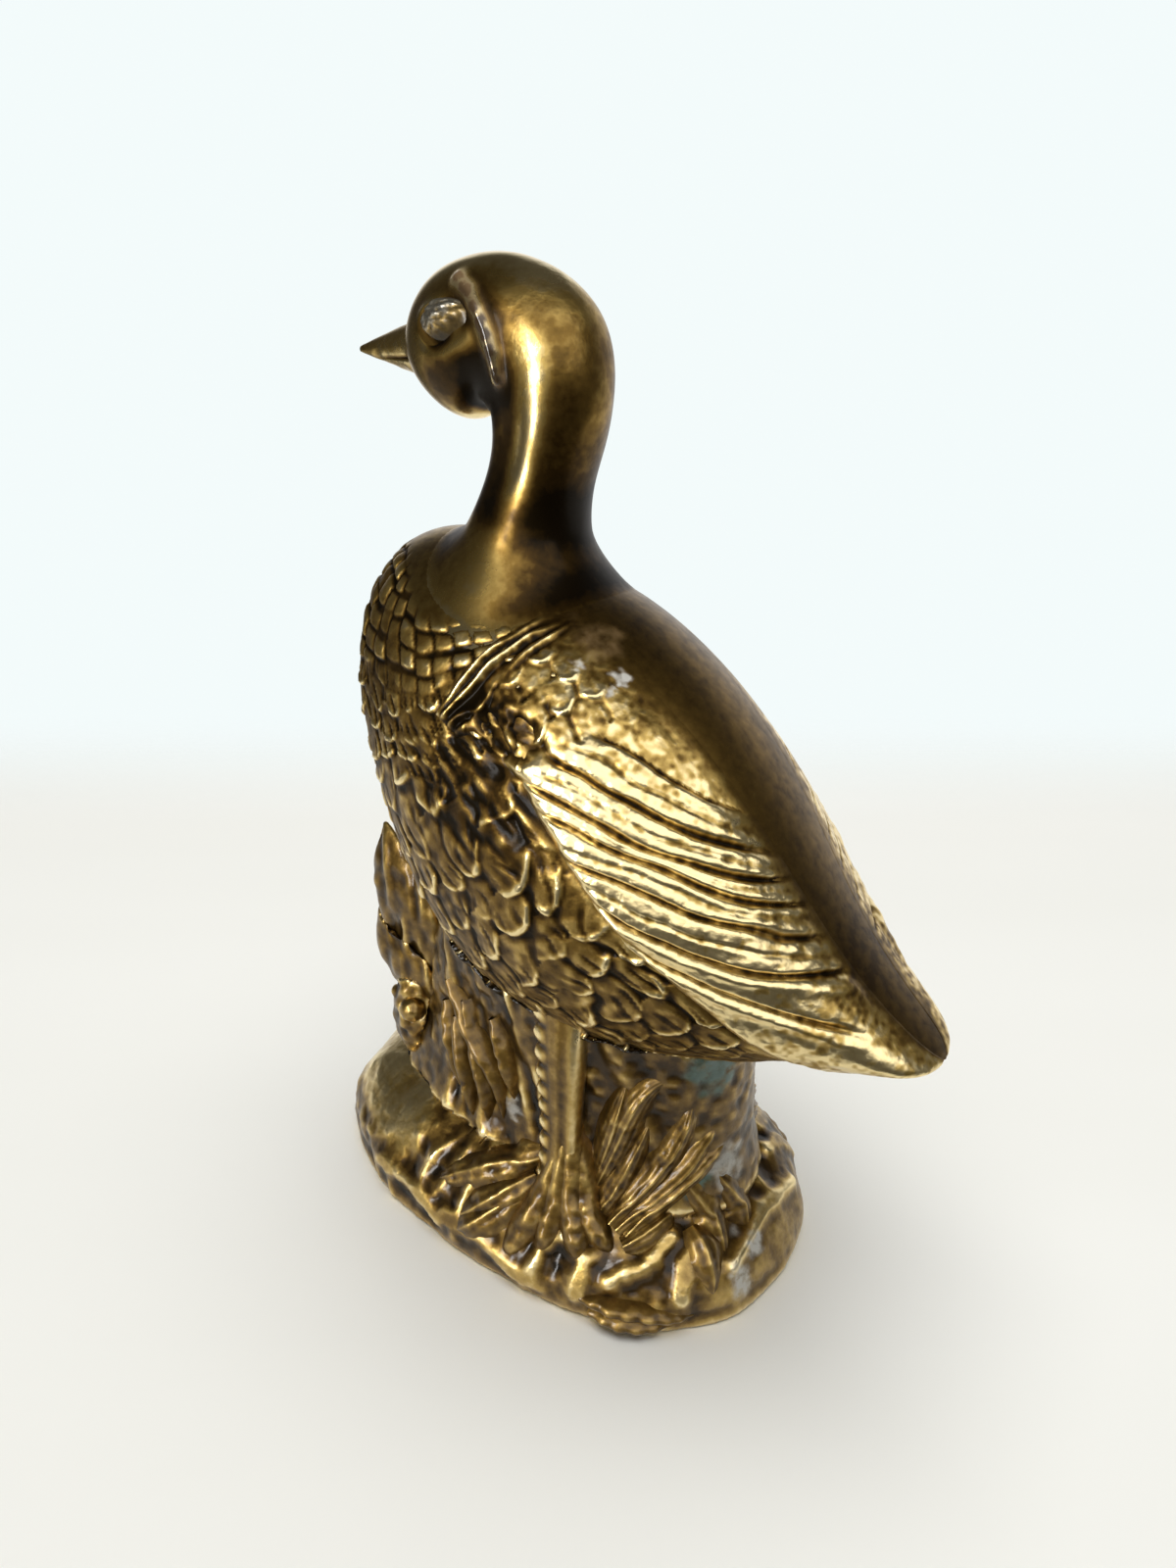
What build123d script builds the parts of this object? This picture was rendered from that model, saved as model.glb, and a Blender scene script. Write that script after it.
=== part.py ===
from build123d import *
import os
from math import cos, radians, sin

# Cast brass duck on a bank of reeds. Millimetres, bill towards -x, tail towards +x, +z up.
# While it is modelled, x = 0 is the middle of the base. The export centres the whole box in x.

# Casting walls and the play between fitted pieces
body_wall = 3.5
base_wall = 3.5
column_wall = 3.5
play = 0.1

# Body stations from breast to tail: x, belly height, back height, half width
body_stations = [
    (-33.3, 87.0, 102.0, 7.0),
    (-30.8, 75.0, 108.5, 12.2),
    (-27.0, 64.5, 112.0, 15.6),
    (-21.0, 54.0, 114.0, 19.3),
    (-12.0, 44.0, 113.8, 23.3),
    (2.0, 37.8, 110.2, 25.6),
    (16.0, 37.5, 103.8, 25.0),
    (30.0, 41.0, 92.2, 21.4),
    (42.0, 45.5, 77.0, 16.2),
    (52.0, 49.2, 63.8, 11.2),
    (58.0, 50.8, 58.0, 8.8),
]
breast_point = (-34.6, 95.0)
tail_point = (63.4, 52.8)

# Neck and head stations up the neck and over the crown: throat x, z, nape x, z, half width
neck_stations = [
    (-22.5, 103.0, 6.4, 103.0, 13.5),
    (-21.0, 109.0, 5.2, 108.5, 12.5),
    (-16.0, 114.0, 3.6, 113.5, 10.0),
    (-12.4, 119.5, 3.8, 119.5, 8.1),
    (-10.0, 126.0, 6.0, 126.5, 7.8),
    (-9.6, 130.6, 7.5, 133.5, 8.1),
    (-10.6, 132.2, 6.0, 142.0, 8.5),
    (-12.0, 131.6, 0.2, 147.8, 9.0),
    (-14.0, 129.5, -7.5, 150.4, 9.3),
    (-17.4, 130.0, -14.8, 150.0, 9.0),
    (-20.8, 132.2, -20.4, 147.4, 7.2),
    (-23.0, 134.8, -22.8, 143.6, 5.0),
]
face_point = (-24.4, 138.8)

# Bill: x, centre height, half height, half width
bill_stations = [
    (-20.5, 138.2, 3.6, 4.4),
    (-25.5, 138.0, 3.2, 3.9),
    (-30.5, 138.0, 2.4, 2.9),
    (-35.0, 138.4, 1.4, 1.7),
]
bill_point = (-38.0, 138.8)
bill_peg_radius = 1.5
bill_peg_length = 5.0

# Eyes, set in round sockets on both sides of the head
eye_x = -14.2
eye_z = 141.6
eye_radius = 2.7
eye_seat_y = 6.0
eye_front_y = 9.6

# Wing: side outline from the shoulder along the back to the tip, then forward along the flank
wing_top = [(0.5, 92.0), (3.5, 97.6), (10.0, 101.0), (22.0, 94.2), (33.0, 83.2), (42.0, 71.6), (50.0, 61.6)]
wing_tip = (57.0, 55.8)
wing_low = [(54.0, 54.4), (47.5, 55.5), (39.6, 58.8), (27.5, 68.5), (16.0, 78.5), (6.0, 86.0)]
wing_thickness = 1.9
feather_groove_width = 1.0
feather_groove_depth = 1.0
feather_count = 7
feather_roots = ((10.0, 95.5), (18.0, 78.0))
feather_ends = ((46.0, 72.5), (57.0, 55.4))
feather_rise = 1.5
wing_peg_places = [(15.0, 91.0), (40.0, 66.5)]
wing_peg_radius = 1.5
wing_peg_depth = 2.4

# Base mound: middle x, half length, half width, height
mound_stations = [
    (0.0, 44.9, 28.6, 0.0),
    (0.0, 45.2, 28.9, 4.0),
    (-1.0, 42.5, 26.6, 9.5),
    (-2.6, 36.8, 22.8, 14.0),
    (-2.6, 29.8, 18.0, 17.5),
]
mound_squareness = 2.4

# Bank column under the belly: front x, rear x, half width, height
column_stations = [
    (-36.5, 36.5, 20.5, 8.0),
    (-35.0, 36.0, 19.0, 18.0),
    (-31.0, 35.5, 17.2, 30.0),
    (-26.0, 35.0, 17.5, 44.0),
    (-20.0, 35.0, 18.0, 60.0),
]
column_squareness = 2.2

# Left leg, mirrored for the right: hip, ankle and three toes spread over the mound
hip = (11.5, -14.5, 54.0)
ankle = (13.2, -18.6, 15.5)
hip_radius = 5.4
shin_radius = 3.3
toe_length = 9.0
toe_drop = 7.5
toe_root_radius = 2.8
toe_tip_radius = 1.7
toe_angles = [-52.0, 2.0, 56.0]

# Leaf blades on the left, mirrored for the right: root, tip, width, thickness, bow off the bank
grass_blades = [
    ((21.0, -19.0, 10.0), (20.5, -13.0, 39.0), 5.0, 3.4, 1.5),
    ((22.5, -18.5, 10.0), (27.5, -10.5, 38.0), 5.0, 3.4, 1.5),
    ((24.0, -18.0, 10.0), (32.5, -5.0, 34.0), 5.0, 3.4, 2.0),
    ((25.0, -17.5, 9.0), (34.5, -2.0, 27.0), 4.5, 3.4, 2.5),
]
rear_blades = [
    ((34.0, -5.0, 18.5), (22.5, -25.0, 7.5), 6.0, 3.2, 2.4),
    ((36.5, -4.0, 16.5), (32.0, -20.5, 6.5), 6.5, 3.2, 2.4),
    ((38.0, -2.5, 13.5), (39.5, -12.0, 5.5), 5.5, 3.2, 1.4),
]
foot_blades = [
    ((9.0, -18.0, 17.5), (-16.0, -24.5, 11.0), 4.6, 3.2, 2.5),
    ((9.0, -20.5, 15.0), (-8.0, -27.0, 7.0), 4.6, 3.2, 1.8),
]
reed_blades = [
    ((1.0, -18.5, 14.0), (-12.0, -13.0, 46.0), 3.8, 3.2, 1.4),
    ((-4.0, -19.0, 14.0), (-16.0, -12.5, 45.0), 3.8, 3.2, 1.4),
    ((-9.0, -19.0, 14.0), (-19.5, -12.0, 43.0), 3.8, 3.2, 1.4),
]
rim_blades = [((15.0, -26.8, 3.2), (38.0, -18.0, 3.4), 5.0, 3.4, 2.9)]

# Two curled leaves at the front of the bank, on the left side only
upper_leaf_blade = ((-24.5, -10.0, 38.0), (-33.0, -8.5, 64.0), 12.0, 4.0, 1.5)
lower_leaf_blade = ((-24.5, -10.5, 30.0), (-33.5, -8.5, 52.0), 10.0, 4.0, 2.0)

# Which way the blades of a wall plant and of a ground plant face
wall_face = (0, -1, 0)
ground_face = (0.2, -0.55, 0.8)

# Seed pod at the front of the bank, with a seed ball set in its side: heights and radii of the pod
pod_place = (-25.5, -10.0)
pod_rings = [(20.0, 3.2), (25.0, 4.8), (31.0, 5.0), (36.0, 3.6)]
pod_top = 40.0
seed_place = (-23.6, -14.2, 31.0)
seed_radius = 2.3

# Tie bolt that holds body, column and base together
bolt_x = 6.0
bolt_diameter = 6.0
bolt_seat_z = 44.5
bolt_boss_radius = 7.5
bolt_head_across_flats = 10.0
bolt_head_height = 4.0
washer_radius = 6.5
washer_thickness = 1.6
nut_across_flats = 10.0
nut_height = 5.0
bolt_end_past_nut = 1.5

# Dowel pins across the two body halves: x, z of the pin
dowel_places = [(-27.5, 70.0), (30.0, 47.0), (16.0, 98.5), (42.0, 71.5)]
dowel_diameter = 3.0
dowel_length = 9.0
dowel_lug_radius = 3.6

# Room that any cut along an axis has to cross
reach = 400.0


def across(x, z):
    """Upright plane square to the length of the bird."""
    return Plane(origin=(x, 0, z), x_dir=(0, 1, 0), z_dir=(1, 0, 0))


def body_form(grow):
    """Whole body, grown outward by a distance."""
    rings = [
        across(x, (low + high) / 2) * Ellipse(half + grow, (high - low) / 2 + grow)
        for x, low, high, half in body_stations
    ]
    front = Vertex(breast_point[0] - grow, 0, breast_point[1])
    back = Vertex(tail_point[0] + grow, 0, tail_point[1])
    return loft([front] + rings + [back])


def body_cavity():
    """Hollow inside the body, one wall in from the stations that are deep enough for a core."""
    rings = [
        across(x, (low + high) / 2) * Ellipse(half - body_wall, (high - low) / 2 - body_wall)
        for x, low, high, half in body_stations[1:-2]
    ]
    return loft(rings)


def neck_form():
    """Neck and head as one bent horn, from the root inside the body to the face."""
    rings = []
    for throat_x, throat_z, nape_x, nape_z, half in neck_stations:
        throat = Vector(throat_x, 0, throat_z)
        nape = Vector(nape_x, 0, nape_z)
        middle = (throat + nape) / 2
        line = nape - throat
        ring = Plane(origin=middle, x_dir=line, z_dir=line.cross(Vector(0, 1, 0)))
        rings.append(ring * Ellipse(line.length / 2, half))
    return loft(rings + [Vertex(face_point[0], 0, face_point[1])])


def bill_form():
    """Bill with its root inside the face."""
    rings = [across(x, z) * Ellipse(wide, high) for x, z, high, wide in bill_stations]
    return loft(rings + [Vertex(bill_point[0], 0, bill_point[1])])


def rounded_ring(middle_x, half_length, half_width, height, squareness):
    """Face with the outline between an ellipse and a rectangle."""
    turns = [radians(22.5 * step) for step in range(16)]
    outline = []
    for turn in turns:
        along = abs(cos(turn)) ** (2 / squareness) * (1 if cos(turn) >= 0 else -1)
        aside = abs(sin(turn)) ** (2 / squareness) * (1 if sin(turn) >= 0 else -1)
        outline.append((middle_x + half_length * along, half_width * aside, height))
    return make_face(Spline(*outline, periodic=True))


def mound_form(inset):
    """Base mound, one inset in from the casting's outside but always open at the foot."""
    rings = []
    for middle, length, width, height in mound_stations:
        top = height - inset if height > inset else height
        rings.append(rounded_ring(middle, length - inset, width - inset, top, mound_squareness))
    return loft(rings)


def column_form(inset):
    """Bank column from inside the mound to inside the belly."""
    rings = []
    for front, rear, width, height in column_stations:
        middle = (front + rear) / 2
        rings.append(rounded_ring(middle, rear - middle - inset, width - inset, height, column_squareness))
    return loft(rings)


def upright(x, radius, low, high):
    """Upright cylinder on the bird's middle plane."""
    return Pos(x, 0, (low + high) / 2) * Cylinder(radius, high - low)


def crosswise(x, z, radius, start_y, end_y):
    """Cylinder along y."""
    return Pos(x, (start_y + end_y) / 2, z) * Rot(90, 0, 0) * Cylinder(radius, abs(end_y - start_y))


def whole(half):
    """Left half of a piece joined to its mirror image."""
    return half + mirror(half, Plane.XZ)


def limb(start, end, start_radius, end_radius):
    """Round tapered bar between two points, with a ball at the far end."""
    start = Vector(*start)
    end = Vector(*end)
    axis = end - start
    near_ring = Plane(origin=start, z_dir=axis) * Circle(start_radius)
    far_ring = Plane(origin=end, z_dir=axis) * Circle(end_radius)
    ball = Pos(end.X, end.Y, end.Z) * Sphere(end_radius)
    return loft([near_ring, far_ring]) + ball


def blade(face, root, tip, width, thickness, bow):
    """Leaf blade that tapers to a point, its flat side turned to a direction and bowed that way."""
    face = Vector(*face)
    root = Vector(*root)
    tip = Vector(*tip)
    axis = tip - root
    rings = []
    for share, scale in ((0, 0.7), (0.4, 1), (0.78, 0.66)):
        middle = root + axis * share + face * (4 * bow * share * (1 - share))
        ring = Plane(origin=middle, x_dir=axis.cross(face), z_dir=axis)
        rings.append(ring * Ellipse(width / 2 * scale, thickness / 2 * scale))
    return loft(rings + [Vertex(tip.X, tip.Y, tip.Z)])


def tuft(face, blades):
    """Several leaf blades cast as one."""
    clump = blade(face, *blades[0])
    for one in blades[1:]:
        clump += blade(face, *one)
    return clump


def left_prism(face):
    """Side-view face drawn in x and z, carried out to the bird's left."""
    return extrude(Plane.XZ * face, amount=reach)


# Left halves of the forms that the pieces are cut from
left_side = Pos(0, -reach / 2, 0) * Box(reach, reach, reach)
body = body_form(0) & left_side
neck = neck_form() & left_side
mound = mound_form(0) & left_side
column = column_form(0) & left_side
bank = [body, mound, column]

left_pieces = {}
middle_pieces = {}

# Base mound: hollow casting, open below, drilled for the tie bolt
mound_top = mound_stations[-1][3]
bolt_hole = upright(bolt_x, bolt_diameter / 2 + play, 0, bolt_seat_z)
middle_pieces["base_mound"] = whole(mound - [mound_form(base_wall), bolt_hole])

# Bank column: hollow casting seated on the mound and saddled to the belly
middle_pieces["bank_column"] = whole(column - [column_form(column_wall), mound, body])

# Wing: skin that follows the body, with grooves between the long flight feathers and two pegs
wing_edge = Spline(wing_top + [wing_tip])
wing_return = Spline([wing_tip] + wing_low + [wing_top[0]])
wing = left_prism(make_face([wing_edge, wing_return])) & body_form(wing_thickness)
wing -= body
grooves = []
for feather in range(1, feather_count):
    share = feather / feather_count
    root = Vector(*feather_roots[0]) * (1 - share) + Vector(*feather_roots[1]) * share
    end = Vector(*feather_ends[0]) * (1 - share) + Vector(*feather_ends[1]) * share
    middle = (root + end) / 2 + Vector(0, feather_rise)
    grooves.append(left_prism(trace(ThreePointArc(root, middle, end), line_width=feather_groove_width)))
groove_floor = body_form(wing_thickness - feather_groove_depth)
wing -= [groove - groove_floor for groove in grooves]
peg_floor = body_form(-wing_peg_depth)
wing_pegs = [crosswise(x, z, wing_peg_radius, -reach, 0) - peg_floor for x, z in wing_peg_places]
wing += [peg & body_form(wing_thickness - feather_groove_depth) for peg in wing_pegs]
left_pieces["wing"] = wing

# Body half: hollow casting that meets its mirror image on the middle plane
lug_length = dowel_length + 2 * body_wall
lugs = [crosswise(x, z, dowel_lug_radius, -lug_length / 2, lug_length / 2) for x, z in dowel_places]
dowels = [crosswise(x, z, dowel_diameter / 2, -dowel_length / 2, dowel_length / 2) for x, z in dowel_places]
hollow = body_cavity() - [upright(bolt_x, bolt_boss_radius, 0, bolt_seat_z)] - lugs
left_pieces["body_half"] = body - [hollow, neck, bolt_hole] - dowels - wing_pegs
middle_pieces["dowel_pins"] = Compound(dowels)

# Neck and head, bill and eyes
bill_peg_place = Pos(face_point[0], 0, bill_stations[0][1]) * Rot(0, 90, 0)
bill_peg = bill_peg_place * Cylinder(bill_peg_radius, 2 * bill_peg_length)
bill_half = (bill_form() & left_side) - neck + (bill_peg & left_side)
middle_pieces["bill"] = whole(bill_half)
socket = crosswise(eye_x, eye_z, eye_radius, -reach, -eye_seat_y)
middle_pieces["neck_and_head"] = whole(neck - [bill_peg, socket])
eye = crosswise(eye_x, eye_z, eye_radius, -eye_front_y, -eye_seat_y)
left_pieces["eye"] = eye & Pos(eye_x, -eye_seat_y, eye_z) * Sphere(eye_front_y - eye_seat_y)

# Leg with three toes, cut to lie on the column, the mound and the belly
leg = limb(hip, ankle, hip_radius, shin_radius)
for angle in toe_angles:
    run = toe_length * cos(radians(angle))
    toe_tip = (ankle[0] + toe_length * sin(radians(angle)), ankle[1] - run, ankle[2] - toe_drop)
    leg += limb(ankle, toe_tip, toe_root_radius, toe_tip_radius)
left_pieces["leg"] = leg - bank

# Plants on both sides of the bank, each cut clear of those before it
rear_leaves = tuft(ground_face, rear_blades)
grass_fan = tuft(wall_face, grass_blades)
rim_leaf = tuft(wall_face, rim_blades)
foot_leaves = tuft(ground_face, foot_blades)
reed_stems = tuft(wall_face, reed_blades)
left_pieces["grass_fan"] = grass_fan - bank - [leg, rear_leaves]
left_pieces["rim_leaf"] = rim_leaf - bank - [leg, rear_leaves]
left_pieces["foot_leaves"] = foot_leaves - bank - [leg]
left_pieces["reed_stems"] = reed_stems - bank - [foot_leaves]

# Plants on the left side only
upper_leaf = blade(wall_face, *upper_leaf_blade)
lower_leaf = blade(wall_face, *lower_leaf_blade)
seed = Pos(*seed_place) * Sphere(seed_radius)
pod_circles = [Pos(*pod_place, height) * Circle(radius) for height, radius in pod_rings]
pod = loft(pod_circles + [Vertex(*pod_place, pod_top)])
middle_pieces["rear_leaves"] = rear_leaves - bank - [leg]
middle_pieces["front_leaf_upper"] = upper_leaf - bank - [reed_stems]
middle_pieces["front_leaf_lower"] = lower_leaf - bank - [reed_stems, upper_leaf, seed]
middle_pieces["seed_pod"] = pod - bank - [reed_stems, upper_leaf, lower_leaf, seed]
middle_pieces["seed_ball"] = seed - bank - [reed_stems]

# Tie bolt, washer and nut
hex_head = RegularPolygon(bolt_head_across_flats / 2, 6, major_radius=False)
hex_nut = RegularPolygon(nut_across_flats / 2, 6, major_radius=False)
washer_top = mound_top - base_wall
washer_low = washer_top - washer_thickness
nut_low = washer_low - nut_height
bolt = upright(bolt_x, bolt_diameter / 2, nut_low - bolt_end_past_nut, bolt_seat_z)
middle_pieces["tie_bolt"] = bolt + extrude(Pos(bolt_x, 0, bolt_seat_z) * hex_head, bolt_head_height)
middle_pieces["tie_washer"] = upright(bolt_x, washer_radius, washer_low, washer_top) - bolt_hole
middle_pieces["tie_nut"] = extrude(Pos(bolt_x, 0, nut_low) * hex_nut, nut_height) - bolt

# Every piece under its own name, left pieces also mirrored to the right
pieces = dict(middle_pieces)
for name, piece in left_pieces.items():
    pieces[f"{name}_left"] = piece
    pieces[f"{name}_right"] = mirror(piece, Plane.XZ)

# Written with the middle of the whole box over the origin
os.makedirs("parts", exist_ok=True)
box = Compound(list(pieces.values())).bounding_box(optimal=True)
for name, piece in pieces.items():
    export_step(Pos(-box.center().X, 0, 0) * piece, f"parts/{name}.step")
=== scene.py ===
import math

import bpy
import numpy as np
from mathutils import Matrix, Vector
from mathutils.bvhtree import BVHTree


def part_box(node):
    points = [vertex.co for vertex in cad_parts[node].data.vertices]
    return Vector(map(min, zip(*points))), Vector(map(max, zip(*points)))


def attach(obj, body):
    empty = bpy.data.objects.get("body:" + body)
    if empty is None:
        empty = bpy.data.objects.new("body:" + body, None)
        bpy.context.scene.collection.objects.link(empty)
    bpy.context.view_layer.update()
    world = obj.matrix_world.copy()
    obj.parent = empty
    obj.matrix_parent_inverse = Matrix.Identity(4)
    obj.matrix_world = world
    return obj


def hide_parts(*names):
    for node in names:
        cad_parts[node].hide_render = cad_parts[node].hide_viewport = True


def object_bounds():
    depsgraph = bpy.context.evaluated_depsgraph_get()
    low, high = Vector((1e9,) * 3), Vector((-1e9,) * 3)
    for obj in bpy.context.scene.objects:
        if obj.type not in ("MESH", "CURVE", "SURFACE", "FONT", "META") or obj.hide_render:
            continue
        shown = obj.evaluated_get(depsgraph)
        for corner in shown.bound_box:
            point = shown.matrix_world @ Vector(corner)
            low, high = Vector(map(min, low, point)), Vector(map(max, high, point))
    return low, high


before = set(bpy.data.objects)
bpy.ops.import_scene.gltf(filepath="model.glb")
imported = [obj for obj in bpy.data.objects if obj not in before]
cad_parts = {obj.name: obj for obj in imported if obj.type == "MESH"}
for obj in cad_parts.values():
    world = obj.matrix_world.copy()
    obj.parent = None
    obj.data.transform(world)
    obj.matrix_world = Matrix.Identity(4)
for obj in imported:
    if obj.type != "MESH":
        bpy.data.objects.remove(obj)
solid_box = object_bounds()

# Base mound: the oval foot of earth that carries everything else, open underneath.
# It is a sand casting in brass with a lumpy skin, left dark in the hollows and rubbed
# bright on the high places.
mm = 0.001
base_low, base_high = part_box("base_mound")
base_x = (base_low.x + base_high.x) / 2 / mm


def places(piece):
    """Vertex places in millimetres from the middle of the base, as an array of rows."""
    flat = np.empty(len(piece.data.vertices) * 3, np.float32)
    piece.data.vertices.foreach_get("co", flat)
    return flat.reshape(-1, 3).astype(float) / mm - (base_x, 0, 0)


def place(piece, points):
    """Sets the vertices from millimetre places taken from the middle of the base."""
    rows = (np.asarray(points, float) + (base_x, 0, 0)) * mm
    piece.data.vertices.foreach_set("co", rows.astype(np.float32).ravel())
    piece.data.update()


def normals(piece):
    """The way each vertex faces, as an array of rows."""
    flat = np.empty(len(piece.data.vertices) * 3, np.float32)
    piece.data.vertex_normals.foreach_get("vector", flat)
    return flat.reshape(-1, 3).astype(float)


def scatter(cells):
    """A fixed number from 0 to 1 for each whole-number cell."""
    stir, stretch = np.array([12.9898, 78.233, 37.719]), 43758.5453
    mixed = np.sin(cells @ stir[: cells.shape[1]]) * stretch
    return mixed - np.floor(mixed)


def lumps(points, size):
    """Soft three-way noise from -1 to 1 with lumps of the given size."""
    scaled = np.asarray(points, float) / size
    cell = np.floor(scaled)
    part = scaled - cell
    part = part * part * (3 - 2 * part)
    total = np.zeros(len(scaled))
    for corner in np.ndindex(2, 2, 2):
        share = np.prod(np.where(np.array(corner) == 1, part, 1 - part), axis=1)
        total += share * scatter(cell + corner)
    return total * 2 - 1


def crests(points, size):
    """Noise from -1 to 1 that rises to sharp winding crests."""
    return 1 - 2 * np.abs(lumps(points, size))


def ease(value, start, end):
    """Runs smoothly from 0 at start to 1 at end."""
    part = np.clip((np.asarray(value, float) - start) / (end - start), 0, 1)
    return part * part * (3 - 2 * part)


def to_line(spots, line):
    """Distance from each spot to a broken line, on a plane or in space."""
    near = np.full(len(spots), 1e9)
    for start, end in zip(np.array(line[:-1], float), np.array(line[1:], float)):
        way = end - start
        part = np.clip((spots - start) @ way / (way @ way), 0, 1)
        near = np.minimum(near, np.linalg.norm(spots - start - part[:, None] * way, axis=1))
    return near


def edit(piece, chosen=None):
    """Opens a piece for editing with all of it, or the chosen vertices, selected."""
    bpy.ops.object.select_all(action="DESELECT")
    piece.select_set(True)
    bpy.context.view_layer.objects.active = piece
    bpy.ops.object.mode_set(mode="EDIT")
    bpy.ops.mesh.select_mode(type="VERT")
    bpy.ops.mesh.select_all(action="SELECT" if chosen is None else "DESELECT")
    if chosen is not None:
        bpy.ops.object.mode_set(mode="OBJECT")
        piece.data.vertices.foreach_set("select", chosen)
        bpy.ops.object.mode_set(mode="EDIT")


def merge(piece, within, chosen=None):
    """Joins vertices that lie close together, out of all of them or the chosen ones."""
    edit(piece, chosen)
    bpy.ops.mesh.remove_doubles(threshold=within * mm)
    bpy.ops.object.mode_set(mode="OBJECT")


def recast(node, voxel):
    """A closed, even skin of small faces over a solid of the frame."""
    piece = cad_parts[node].copy()
    piece.data = piece.data.copy()
    piece.name = node + "_skin"
    for key in list(piece.keys()):
        del piece[key]
    piece.parent = None
    bpy.context.collection.objects.link(piece)
    merge(piece, within=0.01)
    remesh = piece.modifiers.new("skin", "REMESH")
    remesh.mode = "VOXEL"
    remesh.voxel_size = voxel * mm
    remesh.use_smooth_shade = True
    bpy.ops.object.modifier_apply(modifier=remesh.name)
    piece.data.materials.clear()
    return piece


def spread(piece, values, rounds):
    """Evens out a value, or a row of values, over neighbouring vertices."""
    edges = np.empty(len(piece.data.edges) * 2, np.int32)
    piece.data.edges.foreach_get("vertices", edges)
    one, two = edges.reshape(-1, 2).T
    count = len(piece.data.vertices)
    links = np.maximum(np.bincount(one, minlength=count) + np.bincount(two, minlength=count), 1)
    values = np.array(values, float).reshape(count, -1)
    for _ in range(rounds):
        values = np.stack([
            (np.bincount(one, column[two], count) + np.bincount(two, column[one], count)) / links
            for column in values.T], axis=1)
    return values


def keep(piece, name, values):
    """Stores a value for each vertex under a name that the materials read."""
    kept = piece.data.attributes.new(name, "FLOAT", "POINT")
    kept.data.foreach_set("value", np.asarray(values, np.float32))


def keep_relief(piece, rounds, shift=0, share=1):
    """Stores a share of each vertex's height above its neighbours, in millimetres, plus a shift."""
    points = places(piece)
    above = ((points - spread(piece, points, rounds)) * normals(piece)).sum(axis=1)
    keep(piece, "relief", share * above + shift)


def keep_stain(piece, name, spots):
    """Stores a stain that fades out from each spot: a place, a reach and a strength."""
    core, ragged = 0.3, 0.5
    points = places(piece)
    stain = np.zeros(len(points))
    for spot, reach, strength in spots:
        away = np.linalg.norm(points - spot, axis=1) + lumps(points, reach / 2.5) * reach * ragged
        stain = np.maximum(stain, strength * (1 - ease(away, reach * core, reach)))
    keep(piece, name, stain)


def ranged(tree, value, start=(0, 1), end=(0, 1), interpolation="SMOOTHSTEP"):
    """Takes a value of a node tree from one range to another."""
    node = tree.nodes.new("ShaderNodeMapRange")
    node.interpolation_type = interpolation
    for socket, limit in zip(("From Min", "From Max", "To Min", "To Max"), (*start, *end)):
        node.inputs[socket].default_value = limit
    tree.links.new(value, node.inputs["Value"])
    return node.outputs["Result"]


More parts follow.
